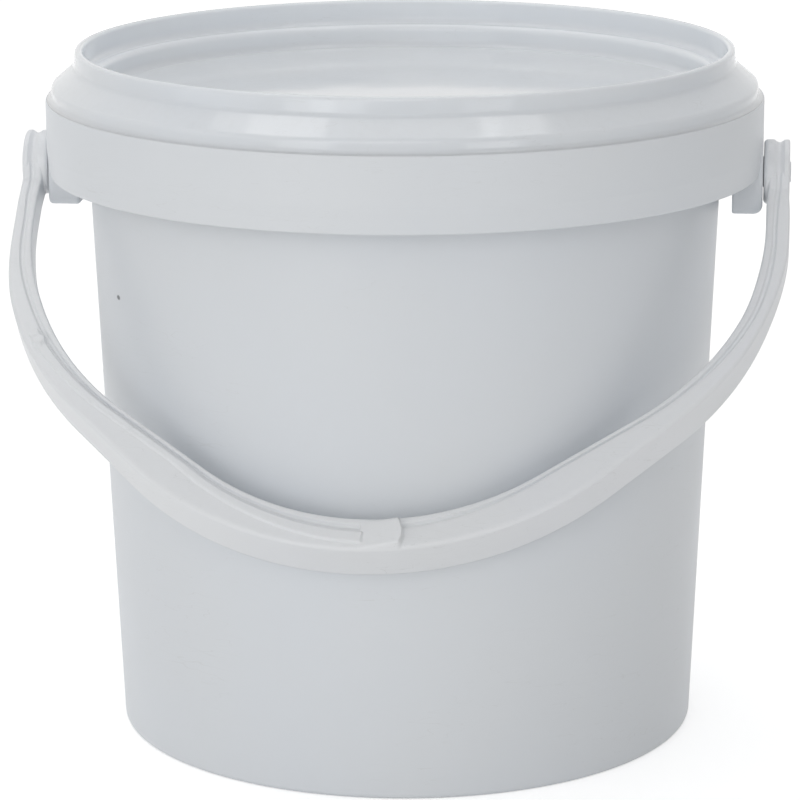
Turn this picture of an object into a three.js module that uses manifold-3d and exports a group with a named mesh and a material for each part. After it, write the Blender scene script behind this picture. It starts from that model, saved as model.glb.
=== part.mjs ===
// A one-litre plastic tub with a press-on lid and a swinging bail handle.
// Millimetres, +Z up. The tub stands on its foot ring with its axis on the Z axis, the handle's pivot
// axis runs along X, and the handle hangs down in front, on the -Y side, leaning on the tub's wall.
// Three moulded pieces: the tub with its collar and lugs, the lid, and the handle with its pins.

import * as THREE from 'three';
import { mergeVertices } from 'three/addons/utils/BufferGeometryUtils.js';
import Module from 'manifold-3d';

const wasm = await Module();
wasm.setup();

// Driving dimensions of the tub
const tubHeight = 122.3; // ground to the top of the rim
const baseRadius = 54.25; // outside of the wall at the ground
const mouthRadius = 59.4; // outside of the wall at the rim
const tubWall = 1.15;
const floorWall = 1.5;
const footRingHeight = 1.6; // recess of the floor above the ground
const footRingWidth = 2.4;
const footRingDraft = 0.3; // the inner side of the foot ring leans out by this much
const footRingFillet = 0.6;
const heelRadius = 1.1; // rounding of the outer bottom edge
const floorFillet = 2; // inside, between the floor and the wall
const gateRadius = 2.2; // moulding gate mark under the floor
const gateTipRadius = 1.8;
const gateHeight = 0.6;
const rimBeadReach = 2.1; // hook of the rim beyond the wall, which the lid snaps under
const rimBeadHeight = 2.6;
const rimBeadChamfer = 0.7;

// Driving dimensions of the collar round the mouth
const collarReach = 7.1; // from the wall at the rim to the outside of the collar
const collarWall = 1.1;
const collarHeight = 13.7;
const collarDrop = 3.1; // top of the collar below the rim
const collarTaper = 0.5; // the collar draws in by this much at its bottom edge
const collarTaperHeight = 4.6; // height of the stretch that draws in
const collarTaperFillet = 3;
const collarEdgeFillet = 0.4;
const webDepth = 7.7; // underside of the web that carries the collar, below the collar's top
const webWall = 1.1;
const webFillet = 0.6;
const ribCount = 12;
const ribWall = 1;
const ribLift = 0.6; // the ribs stop this far above the collar's bottom edge

// Driving dimensions of the lugs and the handle's pivot
const lugDepth = 5.2;
const lugWidth = 12;
const lugDrop = 7.4; // underside of the lug below the collar
const lugCorner = 1.9;
const pivotDrop = 0.2; // pivot axis below the collar's bottom edge
const pinRadius = 2.75;
const pinClearance = 0.3;
const pinHeadReach = 0.75; // step of the snap head beyond the pin
const pinHeadLength = 1.3;
const pinHeadTaper = 0.6;
const earGap = 0.3; // side play between a lug and the handle's ear
const earRadius = 6;
const earWall = 4.6;
const earFillet = 1.3;
const earGroove = 1; // half the width of the soft groove round the ear's rim
const earGrooveDepth = 0.5;
const bossRadius = 1.9; // ring mark on the outside of each ear
const bossBore = 1.3;
const bossHeight = 0.25;

// Driving dimensions of the lid
const lidWall = 1.1;
const lipHeight = 6; // top of the lid's lip above the tub's rim
const lipReach = 1.5; // outside of the lip beyond the tub's wall
const lipWall = 1.4;
const lipFlare = 0.25; // the lip's outside widens by this much towards its foot
const lipFootHeight = 0.6; // the flare ends this far above the foot
const lipFillet = 0.7;
const recessDepth = 8.8; // panel below the lip
const shoulderHeight = 2.6; // foot of the lip above the tub's rim
const shoulderInset = 0.5; // foot of the lip to the start of the shoulder
const shoulderDrop = 0.7; // outer end of the shoulder below the tub's rim
const shoulderFootFillet = 1.5;
const shoulderEndFillet = 1.2;
const ceilingReach = 0.6; // the flat ceiling over the rim runs this far past the shoulder's start
const rimInsertion = 5.6; // how far the lid's rim reaches down behind the collar
const seatGap = 0.3; // lid's ceiling above the tub's rim
const plugGap = 0.4; // lid's plug inside the tub's wall
const plugFillet = 1.1; // lower edge of the plug
const rimGap = 0.3; // lid's rim inside the collar
const snapGap = 0.35; // lid's snap bead outside the tub's rim bead
const snapDrop = 0.9; // snap bead below the tub's rim bead
const snapHeight = 0.7;
const snapLead = 1.6; // the lower flank of the snap bead is this many times as high as the upper one
const lidCornerFillet = 0.6;
const lidEdgeFillet = 0.4;

// Driving dimensions of the handle, across the pivot (span) and away from it (depth)
const bandWidth = 8.5; // across the handle's own plane, at the grip
const armBandWidth = 4.8; // the same on the arms
const gripStart = 60; // depth below the pivot from which the band has its full width
const earFairing = 12; // depth below the pivot over which an arm widens into its ear
const earFairingShare = 0.94; // width of the arm at the pivot, as a share of the ear's
const gripSkew = 1.3; // the grip sits this far towards -X, as the arms have warped
const armClearance = 1.1; // inside of each arm beyond the collar
const armWall = 3.7;
const armStraight = 14.3; // length of the straight arm below the pivot, on its inner edge
const armOuterStraight = 17;
const armEnd = 0.8; // each arm ends this far below the pivot, inside its ear
const gripReach = 13.7; // inner edge of the grip beyond the collar's radius
const gripWall = 6.5;
const gripInnerRadius = 49.4;
const gripOuterRadius = 60.5;
const innerFlankAngle = THREE.MathUtils.degToRad(36.6);
const outerFlankAngle = THREE.MathUtils.degToRad(44.4);
const ribbonInset = 1.3; // thin inner flange beside the groove
const ribbonGroove = 1.1;
const ribbonGrooveDepth = 0.6;
const ridgeHeight = 0.5; // raised strip on the -X half of the front face
const ridgeInset = 2.9;
const ridgeWall = 2.2;
const tongueLength = 7.6; // ramped tongue at the middle of the grip
const tongueHeight = 1.3;
const tongueEdge = 0.5;
const tongueTip = 0.9; // bulge of the tip
const tongueOffset = 3.3; // middle of the tongue, from the middle of the grip
const pipRadius = 1.5;
const pipHeight = 0.4;
const pipAngle = THREE.MathUtils.degToRad(57); // place of the round pip, from the middle of the grip
const wallGap = 0.35; // handle's back edge off the tub's wall where it leans

// Fineness of the round forms
const turnSegments = 64;
const pinSegments = 20;
const arcSegments = 10;
const armSegments = 6;
const filletSegments = 2;
const tongueSegments = 8;
const weldDistance = 1e-4;
const overlap = 0.4; // depth by which joined forms run into each other
const cutterRatio = 3; // a cutting block is this many times as large as what it cuts

// Sizes worked out from the driving dimensions
const wallSlope = (mouthRadius - baseRadius) / tubHeight;
const wallRadiusAt = (z) => baseRadius + wallSlope * z;
const collarRadius = mouthRadius + collarReach;
const collarInside = collarRadius - collarWall;
const collarTop = tubHeight - collarDrop;
const collarBottom = collarTop - collarHeight;
const webBottom = collarTop - webDepth;
const webTop = webBottom + webWall;
const pivotHeight = collarBottom - pivotDrop;
const lugFace = collarRadius;
const lugBack = lugFace - lugDepth;
const earInside = lugFace + earGap;
const armInside = collarRadius + armClearance;
const armOutside = armInside + armWall;
const gripInside = collarRadius + gripReach;
const gripOutside = gripInside + gripWall;

// A closed geometry with its doubled points welded, as a solid that can be joined and cut
function solidOf(geometry) {
  const bare = new THREE.BufferGeometry();
  bare.setAttribute('position', geometry.getAttribute('position'));
  bare.setIndex(geometry.getIndex());
  const welded = mergeVertices(bare, weldDistance);
  const index = welded.getIndex().array;
  const triangles = [];
  for (let i = 0; i < index.length; i += 3) {
    const [a, b, c] = [index[i], index[i + 1], index[i + 2]];
    if (a !== b && b !== c && c !== a) triangles.push(a, b, c);
  }
  return new wasm.Manifold(
    new wasm.Mesh({
      numProp: 3,
      vertProperties: Float32Array.from(welded.getAttribute('position').array),
      triVerts: Uint32Array.from(triangles),
    })
  );
}

// A finished solid as a named mesh with its own material
function meshOf(solid, name, color, roughness) {
  const shape = solid.getMesh();
  const geometry = new THREE.BufferGeometry();
  geometry.setAttribute('position', new THREE.BufferAttribute(shape.vertProperties, 3));
  geometry.setIndex(new THREE.BufferAttribute(shape.triVerts, 1));
  geometry.computeVertexNormals();
  const material = new THREE.MeshStandardMaterial({ color, roughness, metalness: 0 });
  const mesh = new THREE.Mesh(geometry, material);
  mesh.name = name;
  return mesh;
}

// An outline of [across, up, fillet radius] corners with each rounded corner turned into an arc
function roundedOutline(corners) {
  const points = [];
  corners.forEach(([x, y, radius = 0], i) => {
    const corner = new THREE.Vector2(x, y);
    const before = corners[i - 1];
    const after = corners[i + 1];
    if (!radius || !before || !after) {
      points.push(corner);
      return;
    }
    const back = new THREE.Vector2(before[0], before[1]).sub(corner);
    const ahead = new THREE.Vector2(after[0], after[1]).sub(corner);
    const half = Math.acos(back.clone().normalize().dot(ahead.clone().normalize())) / 2;
    const reach = Math.min(radius / Math.tan(half), back.length() / 2, ahead.length() / 2);
    const start = corner.clone().addScaledVector(back.normalize(), reach);
    const end = corner.clone().addScaledVector(ahead.normalize(), reach);
    const curve = new THREE.QuadraticBezierCurve(start, corner, end);
    points.push(...curve.getPoints(filletSegments));
  });
  return points;
}

// A profile of (radius, height) points, from the axis round to the axis, turned about Z
function turned(points, segments = turnSegments) {
  return solidOf(new THREE.LatheGeometry(points, segments).rotateX(Math.PI / 2));
}

// A round bar along X, between two places on the X axis of its own height
function barAlongX(radius, from, to, height) {
  const bar = new THREE.CylinderGeometry(radius, radius, to - from, pinSegments);
  return solidOf(bar.rotateZ(-Math.PI / 2).translate((from + to) / 2, 0, height));
}

function mirrorX(solid) {
  return solid.mirror([1, 0, 0]);
}

// Tub: floor with its foot ring, drafted wall, rim bead, and the collar on its web
function tubProfile() {
  const heel = wallRadiusAt(0);
  const floorTop = footRingHeight + floorWall;
  const ringInside = heel - footRingWidth;
  const beadFoot = tubHeight - rimBeadHeight;
  const beadRadius = mouthRadius + rimBeadReach;
  return roundedOutline([
    [0, footRingHeight],
    [ringInside, footRingHeight, footRingFillet],
    [ringInside + footRingDraft, 0],
    [heel, 0, heelRadius],
    [wallRadiusAt(webBottom), webBottom, webFillet],
    [collarInside, webBottom],
    [collarInside - collarTaper / 2, collarBottom],
    [collarRadius - collarTaper, collarBottom, collarEdgeFillet],
    [collarRadius, collarBottom + collarTaperHeight, collarTaperFillet],
    [collarRadius, collarTop, collarEdgeFillet],
    [collarInside, collarTop],
    [collarInside, webTop],
    [wallRadiusAt(webTop), webTop, webFillet],
    [wallRadiusAt(beadFoot), beadFoot],
    [beadRadius, beadFoot + rimBeadChamfer],
    [beadRadius, tubHeight - rimBeadChamfer],
    [beadRadius - rimBeadChamfer, tubHeight],
    [mouthRadius - tubWall, tubHeight],
    [wallRadiusAt(floorTop) - tubWall, floorTop, floorFillet],
    [0, floorTop],
  ]);
}

// Radial ribs in the hollow under the web, between the wall and the collar
function collarRibs() {
  const bottom = collarBottom + ribLift;
  const top = webBottom + webWall / 2;
  const inner = wallRadiusAt(bottom) - tubWall / 2;
  const outer = collarInside - collarTaper / 2 + overlap;
  const middle = (inner + outer) / 2;
  const step = (2 * Math.PI) / ribCount;
  return Array.from({ length: ribCount }, (_, i) => {
    const rib = new THREE.BoxGeometry(outer - inner, ribWall, top - bottom);
    return solidOf(rib.translate(middle, 0, (top + bottom) / 2).rotateZ((i + 0.5) * step));
  });
}

// Lug at the +X side: a block under the collar, rounded at its lower outer edge, with the pin's bore
function lugBlock() {
  const bottom = collarBottom - lugDrop;
  const outline = roundedOutline([
    [lugBack, webTop - webWall / 2],
    [lugBack, bottom, lugCorner / 2],
    [lugFace, bottom, lugCorner],
    [lugFace, webTop - webWall / 2],
  ]);
  const block = new THREE.ExtrudeGeometry(new THREE.Shape(outline), { depth: lugWidth, bevelEnabled: false });
  return solidOf(block.rotateX(Math.PI / 2).translate(0, lugWidth / 2, 0));
}

function lugBore() {
  const boreRadius = pinRadius + pinClearance;
  return barAlongX(boreRadius, lugBack - overlap, lugFace + overlap, pivotHeight);
}

function buildTub() {
  let tub = turned(tubProfile());
  for (const rib of collarRibs()) tub = tub.add(rib);
  const lug = lugBlock();
  const bore = lugBore();
  tub = tub.add(lug).add(mirrorX(lug));
  tub = tub.subtract(bore).subtract(mirrorX(bore));
  const gateTop = footRingHeight + floorWall / 2;
  const gateBottom = footRingHeight - gateHeight;
  const gate = new THREE.CylinderGeometry(gateRadius, gateTipRadius, gateTop - gateBottom, pinSegments);
  return tub.add(solidOf(gate.rotateX(Math.PI / 2).translate(0, 0, (gateTop + gateBottom) / 2)));
}

// Lid: panel, plug wall inside the tub's mouth, raised lip, shoulder, and the rim behind the collar
function lidProfile() {
  const ceiling = tubHeight + seatGap;
  const plugOutside = mouthRadius - tubWall - plugGap;
  const plugInside = plugOutside - lidWall;
  const lipTop = tubHeight + lipHeight;
  const panelTop = lipTop - recessDepth;
  const panelUnder = panelTop - lidWall;
  const ledgeTop = ceiling + lidWall;
  const lipOutside = mouthRadius + lipReach;
  const lipInside = lipOutside - lipWall;
  const lipFoot = tubHeight + shoulderHeight;
  const rimOutside = collarInside - rimGap;
  const rimInside = rimOutside - lidWall;
  const rimBottom = collarTop - rimInsertion;
  const shoulderEnd = tubHeight - shoulderDrop;
  const shoulderTurn = lipOutside + shoulderInset;
  const snapRadius = mouthRadius + rimBeadReach + snapGap;
  const snapTop = tubHeight - rimBeadHeight - snapDrop;
  const snapRise = (rimInside - snapRadius) / 2;
  const ceilingEnd = shoulderTurn + ceilingReach;
  return roundedOutline([
    [0, panelUnder],
    [plugOutside, panelUnder, plugFillet],
    [plugOutside, ceiling, lidEdgeFillet],
    [ceilingEnd, ceiling, lidCornerFillet],
    [rimInside, ceiling - (rimInside - ceilingEnd), lidCornerFillet],
    [rimInside, snapTop + snapRise],
    [snapRadius, snapTop],
    [snapRadius, snapTop - snapHeight],
    [rimInside, snapTop - snapHeight - snapRise * snapLead],
    [rimInside, rimBottom],
    [rimOutside, rimBottom, lidEdgeFillet],
    [rimOutside, shoulderEnd, shoulderEndFillet],
    [shoulderTurn, lipFoot, shoulderFootFillet],
    [lipOutside + lipFlare, lipFoot + lipFootHeight, lidCornerFillet],
    [lipOutside, lipTop, lipFillet],
    [lipInside, lipTop, lipFillet],
    [lipInside, ledgeTop, lidCornerFillet],
    [plugInside, ledgeTop, lidCornerFillet],
    [plugInside, panelTop, lidCornerFillet],
    [0, panelTop],
  ]);
}

function buildLid() {
  return turned(lidProfile());
}

// Edge of the handle on its +X half: an arc over the middle of the grip, a straight flank, a shoulder
// arc, and the straight arm up to the pivot. Points run from the middle of the grip to the pivot.
function handleEdge({ span, depth, radius, flank, straight }) {
  const sin = Math.sin(flank);
  const cos = Math.cos(flank);
  const flankDepth = depth - radius * (1 - cos);
  const rise = flankDepth + radius * sin * Math.tan(flank) - span * Math.tan(flank) - straight;
  const shoulder = (rise * cos) / (1 - sin);
  const points = [];
  for (let i = 0; i <= arcSegments; i++) {
    const angle = (flank * i) / arcSegments;
    points.push(new THREE.Vector2(radius * Math.sin(angle), depth - radius * (1 - Math.cos(angle))));
  }
  for (let i = 0; i <= arcSegments; i++) {
    const angle = flank + ((Math.PI / 2 - flank) * i) / arcSegments;
    const across = span - shoulder * (1 - Math.sin(angle));
    points.push(new THREE.Vector2(across, straight + shoulder * Math.cos(angle)));
  }
  for (let i = 1; i <= armSegments; i++) {
    points.push(new THREE.Vector2(span, straight + ((armEnd - straight) * i) / armSegments));
  }
  return points;
}

const innerEdge = handleEdge({
  span: armInside,
  depth: gripInside,
  radius: gripInnerRadius,
  flank: innerFlankAngle,
  straight: armStraight,
});
const outerEdge = handleEdge({
  span: armOutside,
  depth: gripOutside,
  radius: gripOuterRadius,
  flank: outerFlankAngle,
  straight: armOuterStraight,
});

// An edge moved outwards along its own normals by a distance
function offsetEdge(edge, distance) {
  return edge.map((point, i) => {
    const before = edge[Math.max(i - 1, 0)];
    const after = edge[Math.min(i + 1, edge.length - 1)];
    const along = after.clone().sub(before);
    if (i === 0) along.set(1, 0);
    if (i === edge.length - 1) along.set(0, -1);
    const normal = new THREE.Vector2(-along.y, along.x).normalize();
    return point.clone().addScaledVector(normal, distance);
  });
}

// A slab of the handle between two edges, from one distance in front of its plane to another.
// The edges are mirrored over the middle when both halves are wanted.
function slab(inner, outer, back, front, bothHalves = true) {
  const mirrored = (edge) => edge.slice(1).map((p) => new THREE.Vector2(-p.x, p.y)).reverse();
  const innerRun = bothHalves ? [...mirrored(inner), ...inner] : inner;
  const outerRun = bothHalves ? [...mirrored(outer), ...outer] : outer;
  const loop = [...innerRun, ...outerRun.reverse()].map((p) => new THREE.Vector2(p.x, -p.y));
  const shape = new THREE.ExtrudeGeometry(new THREE.Shape(loop), { depth: front - back, bevelEnabled: false });
  return solidOf(shape.rotateX(Math.PI / 2).translate(0, -back, 0));
}

// The raised strip from the pip to the tongue, on the -X half of the front face
function ridge() {
  const reach = innerEdge.filter((p) => Math.atan2(p.x, p.y) < pipAngle);
  const strip = slab(
    offsetEdge(reach, ridgeInset),
    offsetEdge(reach, ridgeInset + ridgeWall),
    bandWidth / 2 - overlap,
    bandWidth / 2 + ridgeHeight,
    false
  );
  return mirrorX(strip);
}

// The tongue near the middle of the grip: a ramp that rises towards +X and ends in a rounded tip
function tongue() {
  const near = gripInside + tongueEdge;
  const far = gripOutside;
  const start = tongueOffset - tongueLength / 2;
  const end = tongueOffset + tongueLength / 2;
  const plan = new THREE.Shape();
  plan.moveTo(start, -near);
  plan.lineTo(start, -far);
  plan.lineTo(end - tongueTip, -far);
  plan.quadraticCurveTo(end + tongueTip, -(near + far) / 2, end - tongueTip, -near);
  const block = new THREE.ExtrudeGeometry(plan, {
    depth: tongueHeight + overlap,
    bevelEnabled: false,
    curveSegments: tongueSegments,
  });
  const solid = solidOf(block.rotateX(Math.PI / 2).translate(0, -(bandWidth / 2 - overlap), 0));
  const slope = Math.atan(tongueHeight / tongueLength);
  const depth = tongueHeight * cutterRatio;
  const cutter = new THREE.BoxGeometry(tongueLength * cutterRatio, depth, gripWall * cutterRatio);
  cutter.translate(0, -depth / 2, 0).rotateZ(-slope);
  cutter.translate(end, -(bandWidth / 2 + tongueHeight), -(near + far) / 2);
  return solid.subtract(solidOf(cutter));
}

// The round pip where the raised strip begins
function pip() {
  const place = innerEdge.find((p) => Math.atan2(p.x, p.y) >= pipAngle);
  const depth = place.y + ridgeInset + ridgeWall / 2;
  const bar = new THREE.CylinderGeometry(pipRadius, pipRadius, pipHeight + ridgeHeight + overlap, pinSegments);
  const front = bandWidth / 2 - overlap + (pipHeight + ridgeHeight + overlap) / 2;
  return solidOf(bar.translate(-place.x - ridgeInset / 2, -front, -depth));
}

// Snap head, pin and ear at the +X side, in one profile turned about the pivot axis
function earAndPin() {
  const outside = earInside + earWall;
  const middle = earInside + earWall / 2;
  const headBack = lugBack - pinClearance;
  const headRadius = pinRadius + pinHeadReach;
  const profile = roundedOutline([
    [0, headBack - pinHeadLength],
    [headRadius - pinHeadTaper, headBack - pinHeadLength],
    [headRadius, headBack],
    [pinRadius, headBack],
    [pinRadius, earInside],
    [earRadius, earInside, earFillet],
    [earRadius, middle - earGroove],
    [earRadius - earGrooveDepth, middle],
    [earRadius, middle + earGroove],
    [earRadius, outside, earFillet],
    [bossRadius, outside],
    [bossRadius, outside + bossHeight],
    [bossBore, outside + bossHeight],
    [bossBore, outside],
    [0, outside],
  ]);
  return turned(profile, pinSegments).rotate([0, 90, 0]);
}

// The flat handle with its narrow arms, which widen into the ears and into the grip, and its skew
function shaped(flat) {
  const half = bandWidth / 2;
  const armHalf = armBandWidth / 2;
  return flat.warp((point) => {
    const depth = -point[2];
    const widening = THREE.MathUtils.smoothstep(depth, armStraight, gripStart);
    const fairing = Math.max(1 - depth / earFairing, 0) ** 2;
    const width = armHalf + (half - armHalf) * widening + (earRadius * earFairingShare - armHalf) * fairing;
    point[0] -= gripSkew * (depth / gripInside) ** 2;
    point[1] *= width / half;
  });
}

// Handle, hanging straight down from the pivot: -Z runs down to the grip and -Y is its front
function buildHandle() {
  const half = bandWidth / 2;
  const grooveInner = offsetEdge(innerEdge, ribbonInset);
  const grooveOuter = offsetEdge(innerEdge, ribbonInset + ribbonGroove);
  let handle = slab(innerEdge, outerEdge, -half, half);
  handle = handle.subtract(slab(grooveInner, grooveOuter, half - ribbonGrooveDepth, half + overlap));
  handle = handle.subtract(slab(grooveInner, grooveOuter, -half - overlap, ribbonGrooveDepth - half));
  handle = shaped(handle.add(ridge()).add(tongue()).add(pip()));
  const ear = earAndPin();
  return handle.add(ear).add(mirrorX(ear));
}

// Angle from straight down at which the grip's back edge meets the sloping wall of the tub
function leanAngle() {
  const half = bandWidth / 2;
  const across = gripInside + wallSlope * half;
  const along = wallSlope * gripInside - half;
  const reach = wallRadiusAt(pivotHeight) + wallGap;
  return Math.asin(reach / Math.hypot(across, along)) - Math.atan2(along, across);
}

const tub = meshOf(buildTub(), 'tub', 0xe6e9ec, 0.5);
const lid = meshOf(buildLid(), 'lid', 0xe6e9ec, 0.25);
const handle = meshOf(buildHandle(), 'handle', 0xe6e9ec, 0.45);
handle.position.z = pivotHeight;
handle.rotation.x = -leanAngle();

const pail = new THREE.Group();
pail.add(tub, lid, handle);

export default pail;
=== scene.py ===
import math

import bpy
import numpy as np
from mathutils import Matrix


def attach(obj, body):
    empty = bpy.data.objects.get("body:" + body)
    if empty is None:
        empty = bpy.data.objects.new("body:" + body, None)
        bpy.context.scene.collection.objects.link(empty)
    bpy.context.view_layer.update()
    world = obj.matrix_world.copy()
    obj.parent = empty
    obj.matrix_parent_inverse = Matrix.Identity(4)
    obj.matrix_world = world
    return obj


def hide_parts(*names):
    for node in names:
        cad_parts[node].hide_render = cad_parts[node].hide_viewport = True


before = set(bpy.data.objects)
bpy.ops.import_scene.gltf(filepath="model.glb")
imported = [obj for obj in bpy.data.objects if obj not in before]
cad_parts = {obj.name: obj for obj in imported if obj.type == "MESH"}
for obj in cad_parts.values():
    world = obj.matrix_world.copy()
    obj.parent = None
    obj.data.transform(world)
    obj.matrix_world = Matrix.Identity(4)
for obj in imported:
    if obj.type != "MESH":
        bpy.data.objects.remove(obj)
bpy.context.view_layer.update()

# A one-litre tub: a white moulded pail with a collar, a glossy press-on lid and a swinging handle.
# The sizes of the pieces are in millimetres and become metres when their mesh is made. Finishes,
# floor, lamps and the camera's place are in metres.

millimetre = 0.001
print("frame loaded:", sorted(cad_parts))

# How a shape is worked out

filletShare = 0.48  # of a straight side, which the fillet at each of its ends may use up at most
tiny = 1e-9


def roundedRun(corners, arcSteps=6, hold=0.2, closed=False):
    # Corners are (across, up, fillet, cuts). A fillet becomes a true arc, tangent to both sides:
    # centre = corner + bisector * reach / cos(half angle). The straight run after a corner gets a
    # holding point near each end, so that smooth shading stays flat on it, and its cuts between them.
    corners = [tuple(corner) + (0,) * (4 - len(corner)) for corner in corners]
    count = len(corners)
    places = np.array([corner[:2] for corner in corners], float)
    fillets, cuts = [corner[2] for corner in corners], [corner[3] for corner in corners]
    pieces = []
    for i, (here, fillet) in enumerate(zip(places, fillets)):
        if not fillet or (not closed and i in (0, count - 1)):
            pieces.append(here[None, :])
            continue
        back, ahead = places[i - 1] - here, places[(i + 1) % count] - here
        backLength, aheadLength = np.hypot(*back), np.hypot(*ahead)
        back, ahead = back / backLength, ahead / aheadLength
        half = math.acos(np.clip(back @ ahead, -1, 1)) / 2
        reach = min(fillet / math.tan(half), backLength * filletShare, aheadLength * filletShare)
        bisector = (back + ahead) / np.hypot(*(back + ahead))
        centre = here + bisector * reach / math.cos(half)
        start, end = here + back * reach - centre, here + ahead * reach - centre
        turn = math.pi - 2 * half
        share = np.linspace(0, 1, arcSteps + 1)[:, None]
        arc = (np.sin((1 - share) * turn) * start + np.sin(share * turn) * end) / math.sin(turn)
        pieces.append(centre + arc)
    run = []
    for i, points in enumerate(pieces):
        run.append(points)
        if i == count - 1 and not closed:
            break
        start, end = points[-1], pieces[(i + 1) % count][0]
        length = np.hypot(*(end - start))
        near = min(hold, length / 3) / max(length, tiny)
        share = np.linspace(near, 1 - near, cuts[i] + 2)[:, None]
        run.append(start + (end - start) * share)
    return np.vstack(run)


def gridFaces(rows, columns, wrapRows=False, wrapColumns=False):
    # Four-sided faces between neighbours of a grid of points that are numbered row by row.
    row, column = np.meshgrid(
        np.arange(rows if wrapRows else rows - 1),
        np.arange(columns if wrapColumns else columns - 1),
        indexing="ij",
    )
    nextRow, nextColumn = (row + 1) % rows, (column + 1) % columns
    corners = (row * columns + column, row * columns + nextColumn,
               nextRow * columns + nextColumn, nextRow * columns + column)
    return np.stack([corner.ravel() for corner in corners], axis=1)


def fanFaces(ring, centre):
    # Three-sided faces from a ring of point numbers to the number of one centre point.
    return np.stack([ring, np.roll(ring, -1), np.full(len(ring), centre)], axis=1)


def facedOut(points, faces):
    # Each face is split from its first corner. The sum of the triple products of its triangles is six
    # times the volume inside, which is negative where the faces point inwards: then they are turned.
    volume = 0.0
    for block in faces:
        for step in range(1, block.shape[1] - 1):
            a, b, c = points[block[:, 0]], points[block[:, step]], points[block[:, step + 1]]
            volume += np.einsum("ij,ij->", a, np.cross(b, c))
    return points, [block[:, ::-1] if volume < 0 else block for block in faces]


def cappedRings(rings, firstCentre, lastCentre):
    # Rings of as many points each, joined one to the next, with a fan over each end.
    count = rings.shape[1]
    points = np.vstack([rings.reshape(-1, 3), [firstCentre], [lastCentre]])
    firstRing = np.arange(count)
    lastRing = firstRing + (len(rings) - 1) * count
    faces = [
        gridFaces(len(rings), count, wrapColumns=True),
        fanFaces(firstRing, len(points) - 2)[:, ::-1],
        fanFaces(lastRing, len(points) - 1),
    ]
    return facedOut(points, faces)


def turned(profile, segments):
    # A profile of (radius, height), from the axis round to the axis, swept about Z:
    # x = radius * sin(angle), y = -radius * cos(angle), z = height. Each end is one point.
    angle = np.arange(segments) * 2 * math.pi / segments
    ring = profile[1:-1]
    rings = np.stack([
        np.outer(ring[:, 0], np.sin(angle)),
        np.outer(ring[:, 0], -np.cos(angle)),
        np.repeat(ring[:, 1:], segments, axis=1),
    ], axis=2)
    return cappedRings(rings, [0, 0, profile[0, 1]], [0, 0, profile[-1, 1]])


def turnedAboutX(profile, segments):
    # The same sweep about X: the profile's heights run along X.
    points, faces = turned(profile, segments)
    return facedOut(points[:, [2, 0, 1]], faces)


def turnedBy(shell, angle):
    # A shell turned about Z by an angle.
    points, faces = shell
    cos, sin = math.cos(angle), math.sin(angle)
    return points @ np.array([[cos, sin, 0], [-sin, cos, 0], [0, 0, 1]]), faces


def mirroredX(shell):
    # A shell as seen in a mirror across X: x becomes -x, and its faces are turned to match.
    points, faces = shell
    return facedOut(points * [-1, 1, 1], faces)


def smoothStep(low, high, value):
    # Zero up to low and one from high on. Between them it is share squared * (3 - 2 * share).
    share = np.clip((value - low) / (high - low), 0, 1)
    return share * share * (3 - 2 * share)


def pieceFrom(name, shells, material, body):
    # All shells of one moulding go into one mesh, which stands for the node of the body's name.
    points, faces, first = [], [], 0
    for shellPoints, shellFaces in shells:
        points.append(shellPoints)
        faces += [face for block in shellFaces for face in (block + first).tolist()]
        first += len(shellPoints)
    mesh = bpy.data.meshes.new(name)
    mesh.from_pydata((np.vstack(points) * millimetre).tolist(), [], faces)
    mesh.polygons.foreach_set("use_smooth", np.ones(len(mesh.polygons), bool))
    mesh.update()
    mesh.materials.append(material)
    piece = bpy.data.objects.new(name, mesh)
    bpy.context.scene.collection.objects.link(piece)
    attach(piece, body)
    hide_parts(body)
    print(name, "made:", len(mesh.vertices), "points,", len(mesh.polygons), "faces")


# Effects that the finishes share, each with its own values

effectSizes = {
    "cloudRange": (0.36, 0.64),  # of a noise, over which the base colour goes to the tint
    "streakStretch": (1, 1, 7),
    "patchScale": 35,
    "patchRange": (0.5, 0.62),
    "upwardRange": (0.5, 0.95),  # of the normal's height, over which dust begins to lie
    "dustRange": (0.45, 0.75),
    "glossRange": (0.3, 0.7),
}


def newGroup(name, inputs, outputs):
    # A node group with its inputs as (label, kind, value) and its outputs as (label, kind).
    group = bpy.data.node_groups.new(name, "ShaderNodeTree")
    for label, kind, value in inputs:
        socket = group.interface.new_socket(label, in_out="INPUT", socket_type=kind)
        socket.default_value = value
    for label, kind in outputs:
        group.interface.new_socket(label, in_out="OUTPUT", socket_type=kind)
    return group, group.nodes.new("NodeGroupInput").outputs, group.nodes.new("NodeGroupOutput").inputs


def addNode(tree, kind, inputs=None, **settings):
    # A node with its settings. An input is linked where its value is a socket, and set otherwise.
    node = tree.nodes.new(kind)
    for key, value in settings.items():
        setattr(node, key, value)
    for label, value in (inputs or {}).items():
        if isinstance(value, bpy.types.NodeSocket):
            tree.links.new(value, node.inputs[label])
        else:
            node.inputs[label].default_value = value
    return node


def mixColours(tree, factor, base, other):
    # The colour sockets of a Mix node are its inputs 6 and 7 and its output 2.
    return addNode(tree, "ShaderNodeMix", {0: factor, 6: base, 7: other}, data_type="RGBA").outputs[2]


def calculate(tree, operation, first, second=0.0):
    # One Math node, with sockets or plain numbers as its two inputs.
    return addNode(tree, "ShaderNodeMath", {0: first, 1: second}, operation=operation).outputs[0]


def spread(tree, value, low, high, lowest=0.0, highest=1.0):
    # The value between low and high, stretched to run from lowest to highest.
    return addNode(tree, "ShaderNodeMapRange", {
        "Value": value, "From Min": low, "From Max": high, "To Min": lowest, "To Max": highest,
    }).outputs["Result"]


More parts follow.
